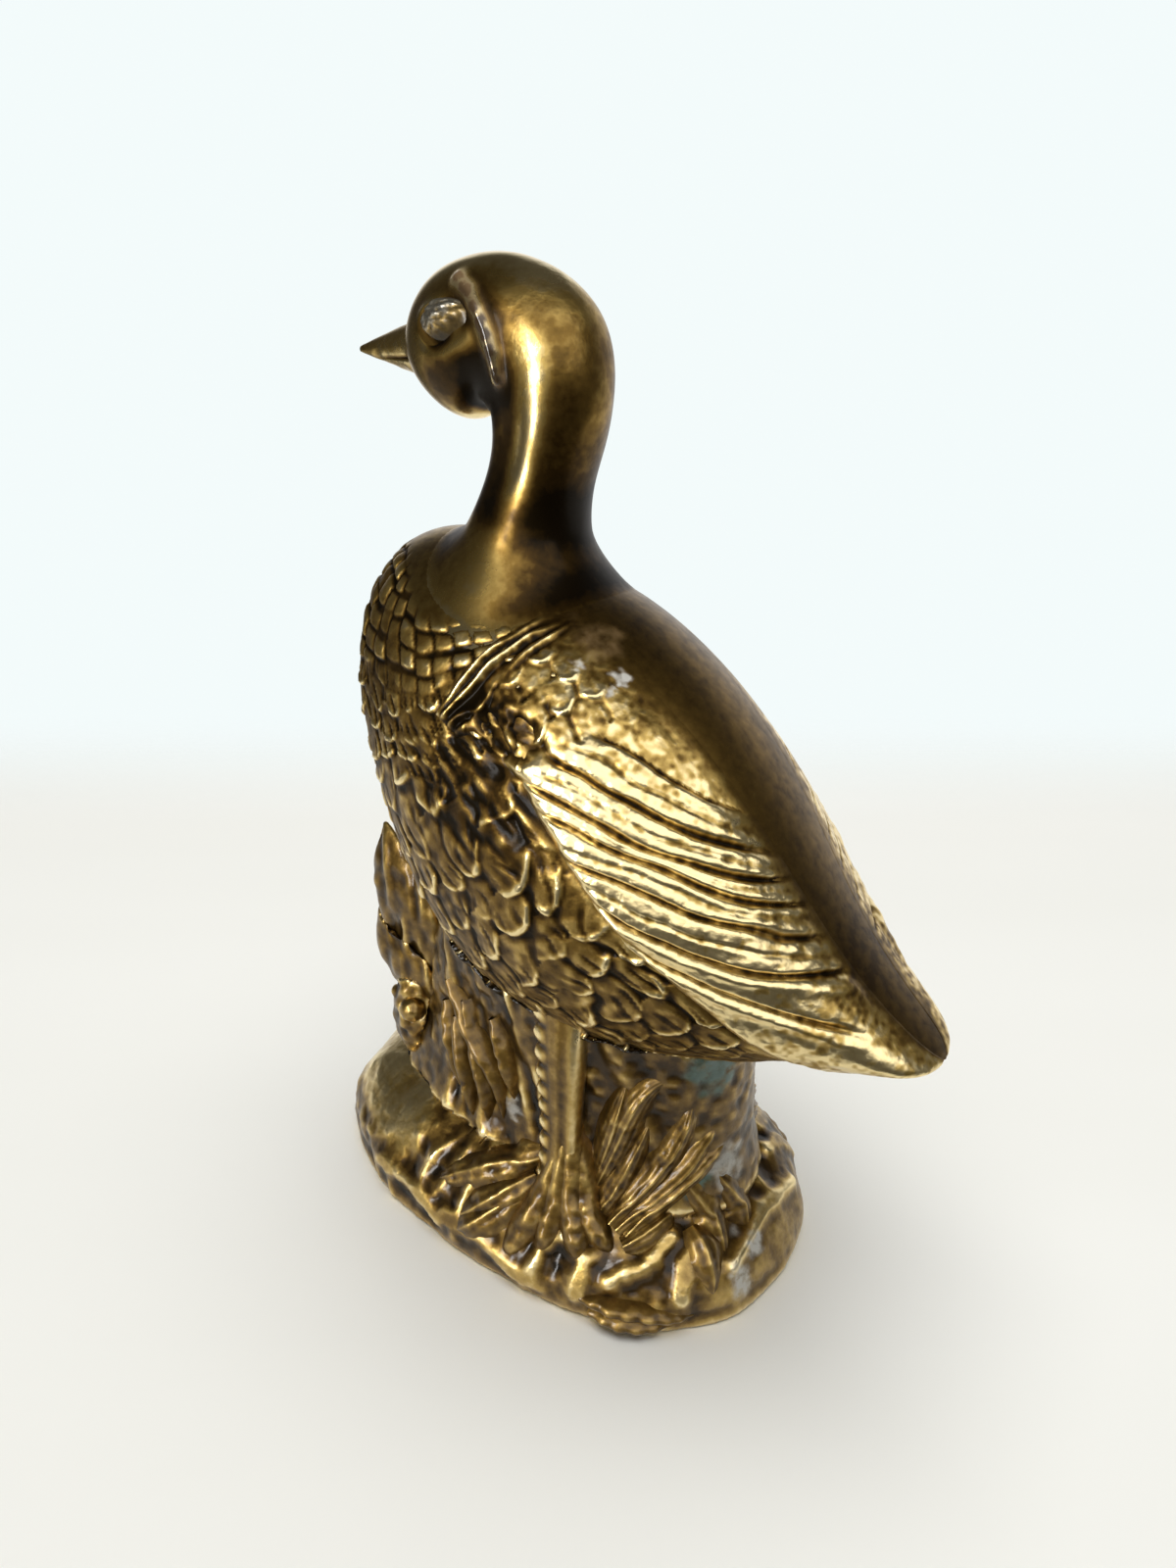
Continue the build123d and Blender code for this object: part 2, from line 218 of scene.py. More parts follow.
def aged_brass(name, depth=0.3, tone=0.5, grain=0.12, polish=0.24, lacquer=0.5):
    """Old brass: dark brown in the hollows, olive on the flats, pale gold on what hands rub.
    Depth is the relief in millimetres that takes it from brown to gold."""
    shades = {0.0: (0.01, 0.006, 0.002), 0.28: (0.055, 0.029, 0.006), 0.5: (0.19, 0.112, 0.025),
              0.74: (0.5, 0.34, 0.1), 1.0: (0.92, 0.74, 0.38)}
    stains = {"verdigris": (0.13, 0.24, 0.2), "residue": (0.62, 0.6, 0.54), "tan": (0.2, 0.125, 0.06)}
    patch_scale, patch_share, speck_scale, speck_share = 70, 0.36, 650, 0.42
    dullest, smooth_gloss, bump_strength, smooth_flatness = 0.66, 0.13, 0.7, 0.6
    made = bpy.data.materials.new(name)
    made.use_nodes = True
    nodes, links = made.node_tree.nodes, made.node_tree.links
    shader = nodes["Principled BSDF"]
    shader.inputs["Coat Weight"].default_value = lacquer
    shader.inputs["Coat Roughness"].default_value = 0.2
    where = nodes.new("ShaderNodeTexCoord").outputs["Object"]

    def kept(attribute):
        read = nodes.new("ShaderNodeAttribute")
        read.attribute_name = attribute
        return read.outputs["Fac"]

    def cloud(scale, detail):
        texture = nodes.new("ShaderNodeTexNoise")
        texture.inputs["Scale"].default_value = scale
        texture.inputs["Detail"].default_value = detail
        links.new(where, texture.inputs["Vector"])
        return texture.outputs["Fac"]

    def sum_up(first, second, factor):
        added = nodes.new("ShaderNodeMath")
        added.operation = "MULTIPLY_ADD"
        added.inputs[1].default_value = factor
        links.new(first, added.inputs[0])
        if isinstance(second, (int, float)):
            added.inputs[2].default_value = second
        else:
            links.new(second, added.inputs[2])
        return added.outputs[0]

    patches, specks = cloud(patch_scale, 5), cloud(speck_scale, 6)
    level = sum_up(kept("relief"), tone - (patch_share + speck_share) / 2, 0.5 / depth)
    level = sum_up(patches, level, patch_share)
    level = sum_up(specks, level, speck_share)
    ramp = nodes.new("ShaderNodeValToRGB")
    links.new(level, ramp.inputs["Fac"])
    stops = ramp.color_ramp.elements
    for at in list(shades)[1:-1]:
        stops.new(at)
    for stop, shade in zip(stops, shades.values()):
        stop.color = (*shade, 1)
    colour, metal = ramp.outputs["Color"], 1.0
    for stain, shade in stains.items():
        amount = nodes.new("ShaderNodeMath")
        amount.operation = "MULTIPLY"
        amount.use_clamp = True
        links.new(kept(stain), amount.inputs[0])
        links.new(sum_up(specks, -1.0, 4.0), amount.inputs[1])
        mixed = nodes.new("ShaderNodeMix")
        mixed.data_type = "RGBA"
        links.new(amount.outputs[0], mixed.inputs["Factor"])
        links.new(colour, mixed.inputs["A"])
        mixed.inputs["B"].default_value = (*shade, 1)
        colour, metal = mixed.outputs["Result"], sum_up(amount.outputs[0], metal, -1.0)
    links.new(colour, shader.inputs["Base Color"])
    links.new(metal, shader.inputs["Metallic"])
    dull = ranged(made.node_tree, level, end=(dullest, polish), interpolation="LINEAR")
    links.new(sum_up(kept("smooth"), dull, -smooth_gloss), shader.inputs["Roughness"])
    bump = nodes.new("ShaderNodeBump")
    links.new(sum_up(kept("smooth"), bump_strength, -smooth_flatness), bump.inputs["Strength"])
    bump.inputs["Distance"].default_value = grain * mm
    links.new(specks, bump.inputs["Height"])
    links.new(bump.outputs["Normal"], shader.inputs["Normal"])
    return made


def set_in(piece, node, material):
    """Puts a finished piece in the frame in place of its solid, kept within the outer box of all the solids.
    """
    margin, near_floor = 0.02, 0.05
    low, high = (np.array(corner) / mm - (base_x, 0, 0) for corner in solid_box)
    place(piece, np.clip(places(piece), low + margin, high - margin))
    points = places(piece)
    points[:, 2] = np.where(points[:, 2] < near_floor, 0, points[:, 2])
    place(piece, points)
    piece.data.materials.clear()
    piece.data.materials.append(material)
    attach(piece, "root")
    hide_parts(node)


fold_rise, fold_width = 1.1, 1.4
dome_front, dome_above, hump_back = (12, 20), (7, 11), (37, 41)
deepest, highest, foot_rim = -1.6, 0.5, 0.3
folds = [[(13.1, -28.3, 3.3), (14.2, -26.1, 8.8), (17.1, -23.0, 11.8)],
         [(21.8, -26.5, 4.9), (21.5, -24.2, 9.2), (18.3, -23.5, 11.1)],
         [(26.3, -23.8, 7.5), (30.0, -19.8, 10.0), (31.5, -14.5, 12.7)],
         [(-4.2, -28.2, 6.3), (3.9, -28.4, 5.8), (10.5, -28.6, 3.6)],
         [(-21.4, -26.2, 6.2), (-12.2, -27.6, 6.7), (-6.0, -28.7, 4.5)],
         [(40.5, -10.5, 8.5), (39.9, -0.7, 10.6), (35.8, 8.0, 12.5)],
         [(36.1, -19.0, 6.1), (34.9, -16.1, 9.9), (35.1, -11.2, 12.1)]]
earth = aged_brass("earthy brass", depth=0.36, tone=0.34, grain=0.24, polish=0.28)
mound = recast("base_mound", voxel=0.5)
points = places(mound)
outward = normals(mound)
round_about = np.arctan2(points[:, 1], points[:, 0])
flow = np.stack([round_about * 24 + 1.5 * lumps(points, 9), points[:, 2] * 0.4, round_about * 0], axis=1)
dome = ease(-points[:, 0], *dome_front) * ease(points[:, 2], *dome_above)
hump = ease(points[:, 0], *hump_back)
calm = 1 - np.maximum(0.55 * dome, 0.8 * hump)
bumps = 0.7 * lumps(points, 8) + calm * (0.7 * crests(flow, 4.5) + 0.3 * lumps(points + 40, 2.4)
                                        + 0.12 * lumps(points + 90, 1.1)) - 0.75
left_side = points * (1, 0, 1) - np.abs(points) * (0, 1, 0)
for fold in folds:
    bumps += fold_rise * np.exp(-((to_line(left_side, fold) / fold_width) ** 2))
above_floor = points[:, 2].copy()
bumps = np.clip(bumps, deepest, highest) * (0.3 + 0.7 * ease(above_floor, foot_rim, 3))
points += outward * bumps[:, None]
points[:, 2] = np.where(above_floor < foot_rim, above_floor, points[:, 2].clip(0.06))
place(mound, points)
keep_relief(mound, rounds=16, shift=0.34 * dome + 0.1 * hump)
keep_stain(mound, "residue", [((41.5, -5.1, 8.9), 2.4, 0.9), ((42.3, -10.7, 6.1), 3.4, 0.8),
                              ((36.5, -5.5, 13.5), 4.0, 0.6)])
set_in(mound, "base_mound", earth)

# Bank column: the hollow clump of reeds and earth between the mound and the belly.
# It is cast in one, with upright strands on its flanks and a plain back, and it is cut
# at the top to fit the belly.
bank_radius, plain_back, wide_foot = 20, (24, 31), (12, 24)
column = recast("bank_column", voxel=0.45)
points = places(column)
outward = normals(column)
around = np.arctan2(points[:, 1], points[:, 0]) * bank_radius
strands = np.stack([around + points[:, 2] * 0.25, points[:, 2] * 0.16, np.zeros(len(points))], axis=1)
rough = 1 - 0.85 * ease(points[:, 0], *plain_back)
bumps = rough * (0.8 * lumps(strands, 2.2) + 0.5 * lumps(strands + 30, 5)) + 0.25 * lumps(points, 1.6)
bumps += 1.4 * (1 - ease(points[:, 2], *wide_foot)) - 0.7 * rough
points += outward * bumps[:, None]
place(column, points)
keep_relief(column, rounds=16)
keep_stain(column, "verdigris", [((33.4, -7.0, 40.5), 5.0, 0.9), ((32.5, -8.9, 20.6), 4.0, 0.6)])
keep_stain(column, "residue", [((1.8, -17.9, 24.4), 2.4, 0.7), ((35.0, -4.8, 21.0), 4.5, 0.7)])
set_in(column, "bank_column", earth)

# Body halves: two hollow brass castings joined along the midline, with the seam ground flush.
# The breast and belly are chased with overlapping feathers, and the back is rubbed smooth.
# Each skin follows the oval sections of its solid, with the feathers raised on it.
body_low, body_high = (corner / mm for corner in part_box("body_half_left"))
body_mid, body_reach = (body_low.x + body_high.x) / 2 - base_x, (body_high.x - body_low.x) / 2


def skin_of(node):
    """A solid of the frame as a tree of faces, to cast rays at."""
    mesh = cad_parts[node].data
    return BVHTree.FromPolygons([corner.co for corner in mesh.vertices],
                                [tuple(face.vertices) for face in mesh.polygons])


def fit_section(skin, x):
    """Middle height, half height and half width of the oval section of the body at x."""
    outside, coarse, fine, best_share, close = -100, 400, 60, 0.9, 0.004
    heights = np.linspace(body_low.z, body_high.z, coarse)
    for _ in range(2):
        hits = []
        for z in heights:
            start = Vector((x + base_x, outside, z)) * mm
            spot = skin.ray_cast(start, Vector((0, 1, 0)))[0]
            if spot:
                hits.append((spot.y / mm, spot.z / mm))
        found = [height for _, height in hits]
        heights = np.linspace(min(found), max(found), fine)
    rows = np.array(hits)
    for _ in range(3):
        across, up = rows.T
        a, b, c = np.linalg.lstsq(np.stack([across**2, up**2, up], axis=1),
                                  np.ones(len(rows)), rcond=None)[0]
        middle = -c / (2 * b)
        grown = 1 + b * middle**2
        miss = np.abs(np.sqrt((a * across**2 + b * (up - middle) ** 2) / grown) - 1)
        rows = rows[miss <= max(close, np.quantile(miss, best_share))]
    return middle, math.sqrt(grown / b), math.sqrt(grown / a)


body_skin = skin_of("body_half_left")
turns = np.linspace(0.12, math.pi - 0.1, 64)
fits = np.array([fit_section(body_skin, body_mid - body_reach * math.cos(turn)) for turn in turns])
turns = np.concatenate([[0], turns, [math.pi]])
fits = np.concatenate([[(fits[0, 0], 0, 0)], fits, [(fits[-1, 0], 0, 0)]])


def curve_through(knots, values):
    """The natural cubic curve through the given knots."""
    gaps = np.diff(knots)
    grid = np.eye(len(knots))
    bends = np.zeros(len(knots))
    for i in range(1, len(knots) - 1):
        grid[i, i - 1:i + 2] = gaps[i - 1], 2 * (gaps[i - 1] + gaps[i]), gaps[i]
        bends[i] = 6 * ((values[i + 1] - values[i]) / gaps[i] - (values[i] - values[i - 1]) / gaps[i - 1])
    bends = np.linalg.solve(grid, bends)

    def at(spot):
        i = np.clip(np.searchsorted(knots, spot) - 1, 0, len(gaps) - 1)
        one = (knots[i + 1] - spot) / gaps[i]
        two = 1 - one
        bow = (one**3 - one) * bends[i] + (two**3 - two) * bends[i + 1]
        return one * values[i] + two * values[i + 1] + bow * gaps[i] ** 2 / 6
    return at


middle_of, tall_of, wide_of = (curve_through(turns, column) for column in fits.T)


def on_body(turn, lean):
    """A place on the left flank: turn runs from breast to tail, lean from belly to back."""
    x = body_mid - body_reach * np.cos(turn)
    y = -wide_of(turn) * np.cos(lean)
    z = middle_of(turn) + tall_of(turn) * np.sin(lean)
    return np.stack([x, y, z], axis=-1)


def outward_at(turn, lean, step=1e-3):
    """The direction straight out of the flank."""
    along = on_body(turn + step, lean) - on_body(turn - step, lean)
    up = on_body(turn, lean + step) - on_body(turn, lean - step)
    out = np.cross(along, up)
    return out / np.maximum(np.linalg.norm(out, axis=-1, keepdims=True), 1e-9)


def shingles(row, column, rounded, strokes, lipped=1.0):
    """Height from 0 to 1 of feathers in rows: square pads where rounded is 0, and overlapping
    scales with a round, scored free end where it is 1."""
    best = np.zeros(row.shape)
    for back in (0, 1):
        line = np.floor(row) - back
        shift = 0.5 * (line % 2) * rounded
        spot = np.round(column - shift)
        seed = np.stack([line, spot], axis=-1).reshape(-1, 2)
        push, lift, start = (scatter(seed + more).reshape(row.shape) for more in (0, 7, 3))
        side = (column - shift - spot) * 2
        down = row - line + (push - 0.5) * 0.34
        end = 0.95 + rounded * (0.46 * (1 - side**2))
        inside = ease(end - down, 0, 0.16) * ease(1 - np.abs(side), 0, 0.24)
        inside *= rounded + (1 - rounded) * ease(down, 0, 0.18)
        lip = np.exp(-(((end - down - 0.16) / 0.09) ** 2))
        scale = 0.3 + 0.3 * np.clip(down / 1.3, 0, 1) + 0.3 * lip * lipped
        scale += 0.4 * (1 - lipped) * (1 - side**2)
        pad = 0.95 - 0.4 * (2 * down - 1) ** 2
        rise = (rounded * scale + (1 - rounded) * pad) * (1 - 0.3 * side**2)
        nick = strokes * ease(down, 0.4, 0.75) * ease(np.cos(side * 8 + start * 6), 0.3, 0.9)
        best = np.maximum(best, inside * (rise * (0.6 + 0.7 * lift) - 0.3 * nick))
    return best


def sheet(name, points):
    """A grid of faces with its corners set to the given rows of places."""
    bpy.ops.object.select_all(action="DESELECT")
    rows, columns = points.shape[:2]
    bpy.ops.mesh.primitive_grid_add(x_subdivisions=columns - 1, y_subdivisions=rows - 1, size=1)
    piece = bpy.context.object
    piece.name = name
    place(piece, points.reshape(-1, 3))
    bpy.ops.object.shade_smooth()
    return piece


def flip(piece):
    """Turns the faces of a mirrored piece outward again."""
    edit(piece)
    bpy.ops.mesh.flip_normals()
    bpy.ops.object.mode_set(mode="OBJECT")


def above_body(points):
    """How far each place stands clear of the body, in millimetres."""
    turn = np.arccos(np.clip((body_mid - points[:, 0]) / body_reach, -1, 1))
    up = points[:, 2] - middle_of(turn)
    round_it = np.hypot(points[:, 1] / wide_of(turn).clip(0.1), up / tall_of(turn).clip(0.1)).clip(0.05)
    return np.hypot(points[:, 1], up) * (1 - 1 / round_it)


body_columns, body_rows = 350, 280
heart, neck_way, arm = (-2, 0, 76), np.array([-0.24, 0, 0.97]), 46
scales_from, belly_from, underside_from = (0.68, 0.88), (1.1, 1.3), (0.78, 1.0)
tangle_spot, tangle_reach = (5, 85), (13, 11)
turn, lean = np.meshgrid(np.linspace(0, math.pi, body_columns),
                         np.linspace(-math.pi / 2, math.pi / 2, body_rows))
flank = on_body(turn, lean)
away = outward_at(turn, lean)
flat = flank.reshape(-1, 3)
ahead, height = flank[..., 0], flank[..., 2]
spoke = flank - heart
fall = np.arccos(np.clip(spoke @ neck_way / np.linalg.norm(spoke, axis=-1), -1, 1))
swing = np.arctan2(-spoke[..., 1], -(spoke[..., 0] * neck_way[2] - spoke[..., 2] * neck_way[0]))
swirl = swing - 0.5 * (fall - 0.5) * ease(swing, 0.3, 1.3)


def noise(size, start=0, spots=flat):
    """The soft noise over the flank, laid out as its grid."""
    return lumps(spots + start, size).reshape(fall.shape)


warp, drift = (noise(9, start) + 0.5 * noise(4, start) for start in (0, 50))


def feather_rows(cell, growth, count, rounded):
    """Rows of feathers round the neck, a cell high at the top and taller below, count to the round."""
    row = arm / (cell * growth) * np.log1p(growth * (fall - 0.3)) + 0.36 * warp
    column = swirl * count / (2 * math.pi) + 0.36 * drift
    return shingles(row, column, np.full(fall.shape, rounded), rounded)


lower = ease(fall + 0.1 * warp, *scales_from)
lowest = ease(fall + 0.1 * drift, *belly_from)
relief = 0.7 * feather_rows(cell=3.4, growth=0.5, count=36, rounded=0.15) * (1 - lower)
relief += feather_rows(cell=4.8, growth=0.3, count=31, rounded=1.0) * lower * (1 - lowest)
belly_radius, belly_length, belly_width = 27, 5.2, 7.6
girth = lean * belly_radius
belly_row = (ahead * 0.75 - girth * 0.66) / belly_length + 0.34 * warp
belly_column = (ahead * 0.66 + girth * 0.75) / belly_width + 0.34 * drift
relief += 1.1 * shingles(belly_row, belly_column, np.ones(fall.shape), 0.6) * lowest
relief = 0.4 + (relief - 0.4) * (0.75 + 0.35 * noise(6, 70))
tangle = 1 - ease(np.hypot((ahead - tangle_spot[0]) / tangle_reach[0],
                           (height - tangle_spot[1]) / tangle_reach[1]), 0.4, 1.2)
hair = np.stack([ahead * 0.6 + height * 0.8, (ahead * 0.8 - height * 0.6) * 0.3,
                 flank[..., 1] * 0.2], axis=-1).reshape(-1, 3)
relief = relief * (1 - 0.25 * tangle) + tangle * (0.05 + 0.5 * noise(1.1, spots=hair))
combed = np.stack([lean * 24, turn * 5, swing * 0], axis=-1).reshape(-1, 3)
strands = 0.5 + 0.4 * noise(0.9, spots=combed)
under = ease(-lean, *underside_from)
relief = relief * (1 - under) + strands * under
smooth_back = ease(lean, 0.75, 1.15) * ease(ahead, -6, 8)
collar = 1 - ease(fall - 0.12 * ease(swing, 0.85, 1.3) + 0.03 * warp, 0.34, 0.42)
tail = ease(ahead, 38, 44)
plain = (1 - smooth_back) * (1 - collar) * (1 - tail)
relief = (relief - 0.45) * plain + 0.12 * plain * noise(1.6, 20)
wing_line, sunk_under_wing = 98, -0.4
under_wing = ease(ahead + height - wing_line, -3, 0) * ease(ahead, 10, 14) * (1 - ease(lean, 0.9, 1.1))
relief += (sunk_under_wing - relief) * under_wing
dressed = flat + away.reshape(-1, 3) * relief.reshape(-1, 1)
chased = aged_brass("chased brass", depth=0.19, tone=0.5, grain=0.22, polish=0.28, lacquer=0.1)
tan_patch = [((13.0, -9.5, 104.5), 5.0, 0.3)]
at_pole = (turn < 1e-6) | (turn > math.pi - 1e-6)
for side, node in ((1, "body_half_left"), (-1, "body_half_right")):
    half = sheet(node + "_skin", (dressed * (1, side, 1)).reshape(flank.shape))
    if side < 0:
        flip(half)
    keep_relief(half, rounds=12, shift=(-0.05 * smooth_back - 0.12 * tangle - 0.04 * plain).ravel())
    keep(half, "smooth", (1 - plain).ravel())
    keep_stain(half, "tan", tan_patch if side > 0 else [])
    merge(half, within=1.0, chosen=at_pole.ravel())
    set_in(half, node, chased)

# Wings: each is a thin curved casting pegged to the flank, with narrow shoulder feathers,
# rounded coverts and long flight feathers that sweep back over the tail.
feather_lines = [  # lower edge of each long feather as three places along it, in x and z
    ((16, 94.8), (28, 89.0), (38.7, 81.6)), ((15.2, 90.3), (26.9, 85.2), (40.1, 78.9)),
    ((12.6, 87.2), (24.9, 82.4), (41.2, 76.4)), ((14, 84.2), (31.4, 78.2), (45, 72.3)),
    ((20, 78.4), (34.3, 73.9), (47.2, 68.6)), ((24.6, 72.7), (35.9, 68.4), (50.6, 64.6)),
    ((27.6, 68.7), (44.8, 61.6), (57.9, 57.6)), ((30.9, 61), (40.4, 52), (58, 43))]
feather_ends = (73, 73, 71, 72, 68, 67, 66)  # lean in degrees where each one runs out on the back
feather_field = [(15, 92), (10, 88), (22.5, 72.5), (31, 64.5), (46, 48), (70, 48), (70, 90), (40, 90),
                 (28, 91), (20, 95)]
wing_edge = [(6.4, 108.7), (1.8, 104.9), (-2.6, 99.4), (-5.4, 93), (-1, 91), (4, 91.5), (10.5, 87.5),
             (16, 81), (22.5, 73), (27, 67.8), (31, 65.2), (37, 60), (41, 55.5), (46, 51.8), (53, 49.6),
             (62, 48), (67, 50), (67, 62), (54, 72), (42, 84), (31, 97), (18, 108), (12, 110)]
groove_half, plain_feathers, thinnest = 0.32, 5, 1.1
covert_front, covert_lean, covert_length, covert_width, back_radius = 6.0, 0.9, 3.8, 4.8, 26
shoulder = [(7.4, 106.2), (4.2, 103.4), (0.6, 98.8), (-2.6, 93.4)]
hollow, hollow_reach = (6.8, 92.0), (6, 3.4)
shade_spot, shade_reach = (4, 92.5), (9.5, 6)
skin_gap, buried_below, back_limit = 0.04, -0.75, 1.36
wing_columns, wing_rows = 340, 270


def inside_of(spots, ring):
    """Distance inside a closed ring, negative outside it."""
    ring = np.array(ring + ring[:1], float)
    odd = np.zeros(len(spots), bool)
    for (x0, z0), (x1, z1) in zip(ring[:-1], ring[1:]):
        across = (z0 > spots[:, 1]) != (z1 > spots[:, 1])
        meet = x0 + (spots[:, 1] - z0) * (x1 - x0) / np.where(z1 == z0, 1e-9, z1 - z0)
        odd ^= across & (spots[:, 0] < meet)
    return np.where(odd, 1, -1) * to_line(spots, ring)


def parabola(line, x):
    """Height at x of the curve through three places."""
    (a, p), (b, q), (c, r) = line
    return (p * (x - b) * (x - c) / ((a - b) * (a - c)) + q * (x - a) * (x - c) / ((b - a) * (b - c))
            + r * (x - a) * (x - b) / ((c - a) * (c - b)))


turn, lean = np.meshgrid(np.linspace(1.08, 3.07, wing_columns), np.linspace(-0.9, 1.4, wing_rows))
flank = on_body(turn, lean)
shape = turn.shape
spots = flank[..., [0, 2]].reshape(-1, 2)
flat = flank.reshape(-1, 3)
x, z, slope = spots[:, 0], spots[:, 1], lean.ravel()
wave = 0.3 * lumps(np.stack([x, z * 2.5, x * 0], axis=1), 6)
heights = np.stack([parabola(line, x) for line in feather_lines]) + wave
for upper, under in zip(heights[:-1], heights[1:]):
    under[:] = np.minimum(under, upper - thinnest)
ripple = lumps(flat * (0.45, 1, 1), 3)
hammered = lumps(flat + 30, 1.3) + 0.6 * lumps(flat + 45, 0.8)
long_feather = np.zeros(len(x))
for index, (upper, under) in enumerate(zip(heights[:-1], heights[1:])):
    tall = np.maximum(upper - under, 0.5)
    part = (upper - z) / tall
    within = (part >= 0) & (part < 1)
    groove = np.exp(-((np.minimum(part, 1 - part) * tall / groove_half) ** 2))
    crown = 0.3 + 0.3 * part + 0.2 * (1 - (2 * part - 1) ** 2) + 0.14 * ripple + 0.08 * hammered
    if index < plain_feathers:
        crown -= 0.25 * np.exp(-(((part - 0.5 - 0.12 * ripple) * tall / groove_half) ** 2))
    else:
        crown += 0.4 * np.exp(-(((part * tall - 1.2) / 0.7) ** 2)) - 0.15 * part
    ends = math.radians(feather_ends[index]) + 0.06 * ripple
    lip = (crown - (crown + 0.3) * groove) * (1 - ease(slope, ends - 0.34, ends + 0.05))
    long_feather = np.where(within, lip, long_feather)
long_feather *= 1 - ease(x, 50, 57)
begin = inside_of(spots, feather_field)
slant = (x - covert_front) * 0.86 - (slope - covert_lean) * back_radius * 0.5
across = (x - covert_front) * 0.5 + (slope - covert_lean) * back_radius * 0.86
covert_row = slant / covert_length + 0.18 * lumps(flat, 7)
covert_column = across / covert_width + 0.2 * lumps(flat + 60, 7)
coverts = shingles(covert_row.reshape(shape), covert_column.reshape(shape), np.ones(shape), 0.3, 0.6).ravel()
cover = 0.85 * coverts * (1 - ease(slope, 0.9, 1.2)) * (1 - ease(x, 23, 29))
mix = ease(begin, -1.2, 1.6)
lift = cover * (1 - mix) + long_feather * mix
band = to_line(spots, shoulder)
from_top = spots - shoulder[0]
off_shoulder = from_top @ (0.79, -0.617)
down_it = from_top @ (0.617, 0.79)
stray = lumps(np.stack([off_shoulder * 0.5, down_it * 0.3, x * 0], axis=1), 1.2)
pleats = 0.25 + (0.28 + 0.2 * stray) * np.cos((off_shoulder + 0.9 * stray) * 3.2) + 0.2 * stray
lift += (pleats - lift) * (1 - ease(band, 2.4, 3.4))
pit = np.hypot(*((spots - hollow) / hollow_reach).T)
tufts = lumps(np.stack([x * 0.9 + z, (z - x) * 0.35, z * 0], axis=1), 1.4)
lift += (tufts - 0.9) * (1 - ease(pit, 0.5, 1.15))
# Painted shade: a dark patch on the shoulder by the hollow.
painted_shade_patch = 1 - ease(np.hypot(*((spots - shade_spot) / shade_reach).T), 0.4, 1.1)
rim = inside_of(spots, wing_edge)
on_back = ease(slope, 1.0, 1.25)
tip = ease(x, 55, 61)
lift += 0.25 * (1 - ease(slope, 0.4, 0.9))
lift = lift * ease(rim, -0.2, 1.6) * (1 - on_back) * (1 - tip) + skin_gap
lift -= 0.95 * (1 - ease(rim, -1.0, 0.9)) + 0.3 * ease(slope, 1.15, 1.4)
lift += 0.03 * hammered * (1 - on_back)
# Tarnish and painted shade: mottled tarnish over the wing, darker on the back, with the painted shade patch
# by the hollow taken off.
tarnish_and_painted_shade = 0.14 + 0.05 * mix * (1 - ease(x, 40, 50)) - 0.08 * ease(slope, 0.4, 0.9)
tarnish_and_painted_shade += 0.12 * lumps(flat, 0.7) + 0.06 * lumps(flat + 10, 2.5)
tarnish_and_painted_shade = (tarnish_and_painted_shade - 0.1 * (1 - ease(band, 2.4, 3.8))) * (1 - on_back) - 0.05 * on_back - 0.3 * painted_shade_patch
buried = (lift < buried_below) | (slope > back_limit)
for side, node in ((1, "wing_left"), (-1, "wing_right")):
    worn_off = 0.9 * ease(slope, 0.55, 0.85) * (side < 0) * ease(rim, -0.2, 1.6)
    left_over = lift - worn_off * (lift - skin_gap).clip(0)
    raised = flat + outward_at(turn, lean).reshape(-1, 3) * left_over[:, None]
    wing = sheet(node + "_skin", (raised * (1, side, 1)).reshape(flank.shape))
    if side < 0:
        flip(wing)
    keep_relief(wing, rounds=14, shift=tarnish_and_painted_shade, share=0.65)
    keep(wing, "smooth", on_back)
    keep_stain(wing, "residue", [((12.6, -13.2, 100.8), 1.2, 0.9), ((17.7, -10.4, 99.5), 1.5, 1.0),
                                 ((17.5, -12.6, 98.2), 1.0, 0.8)] if side > 0 else [])
    keep_stain(wing, "tan", tan_patch if side > 0 else [])
    edit(wing, buried)
    bpy.ops.mesh.delete(type="VERT")
    bpy.ops.object.mode_set(mode="OBJECT")
    set_in(wing, node, chased)

# Neck and head: one casting, set in the collar of the body before the halves close.
# The cheeks are smooth, with a curved ridge behind each eye and a soft groove down the neck.
eye_spot, eye_oval = (-11.8, 142.0), (4.1, 2.9)
socket, socket_radius, face_half = (-14.2, 141.6), 3.1, 8.7
chin_spot, chin_reach, chin_drop = (-8, 131), (3, 2.5), 1.5
cheek_spot, cheek_reach = (-10, 134.5), (8, 6)
ridge_rise, ridge_width, groove_depth, groove_width = 0.95, 0.85, 0.5, 2.8
brow_ridge = [(-10.8, 146.8), (-8.2, 145.3), (-6.2, 142.9), (-5.0, 140.7), (-4.3, 138), (-4.0, 135)]
neck_groove = [(-4.6, 146.5), (-2.6, 142), (-2.0, 136.3), (-2.2, 132.4), (-3.5, 128), (-5.1, 123.4),
               (-7.1, 118.6)]
head = recast("neck_and_head", voxel=0.38)
points = places(head)
in_socket = np.hypot(points[:, 0] - socket[0], points[:, 2] - socket[1]) < socket_radius
points[in_socket, 1] = np.sign(points[in_socket, 1]) * face_half
place(head, points)
place(head, spread(head, points, 8))
points = places(head)
groove = to_line(points[:, [0, 2]], neck_groove)
softened = np.exp(-((groove / 4.5) ** 2)) * ease(points[:, 2], 118, 124)
points += softened[:, None] * (spread(head, points, 50) - points)
place(head, points)
outward = normals(head)
spots = points[:, [0, 2]]
flanks = ease(np.abs(points[:, 1]), 2.5, 5)
ridge = to_line(spots, brow_ridge)
groove = to_line(spots, neck_groove)
oval = np.hypot(*((spots - eye_spot) / eye_oval).T)
carved = (ridge_rise + 0.25 * lumps(points, 2.5)) * np.exp(-((ridge / ridge_width) ** 2))
carved -= groove_depth * np.exp(-((groove / groove_width) ** 2)) * ease(-points[:, 2], -146, -138)
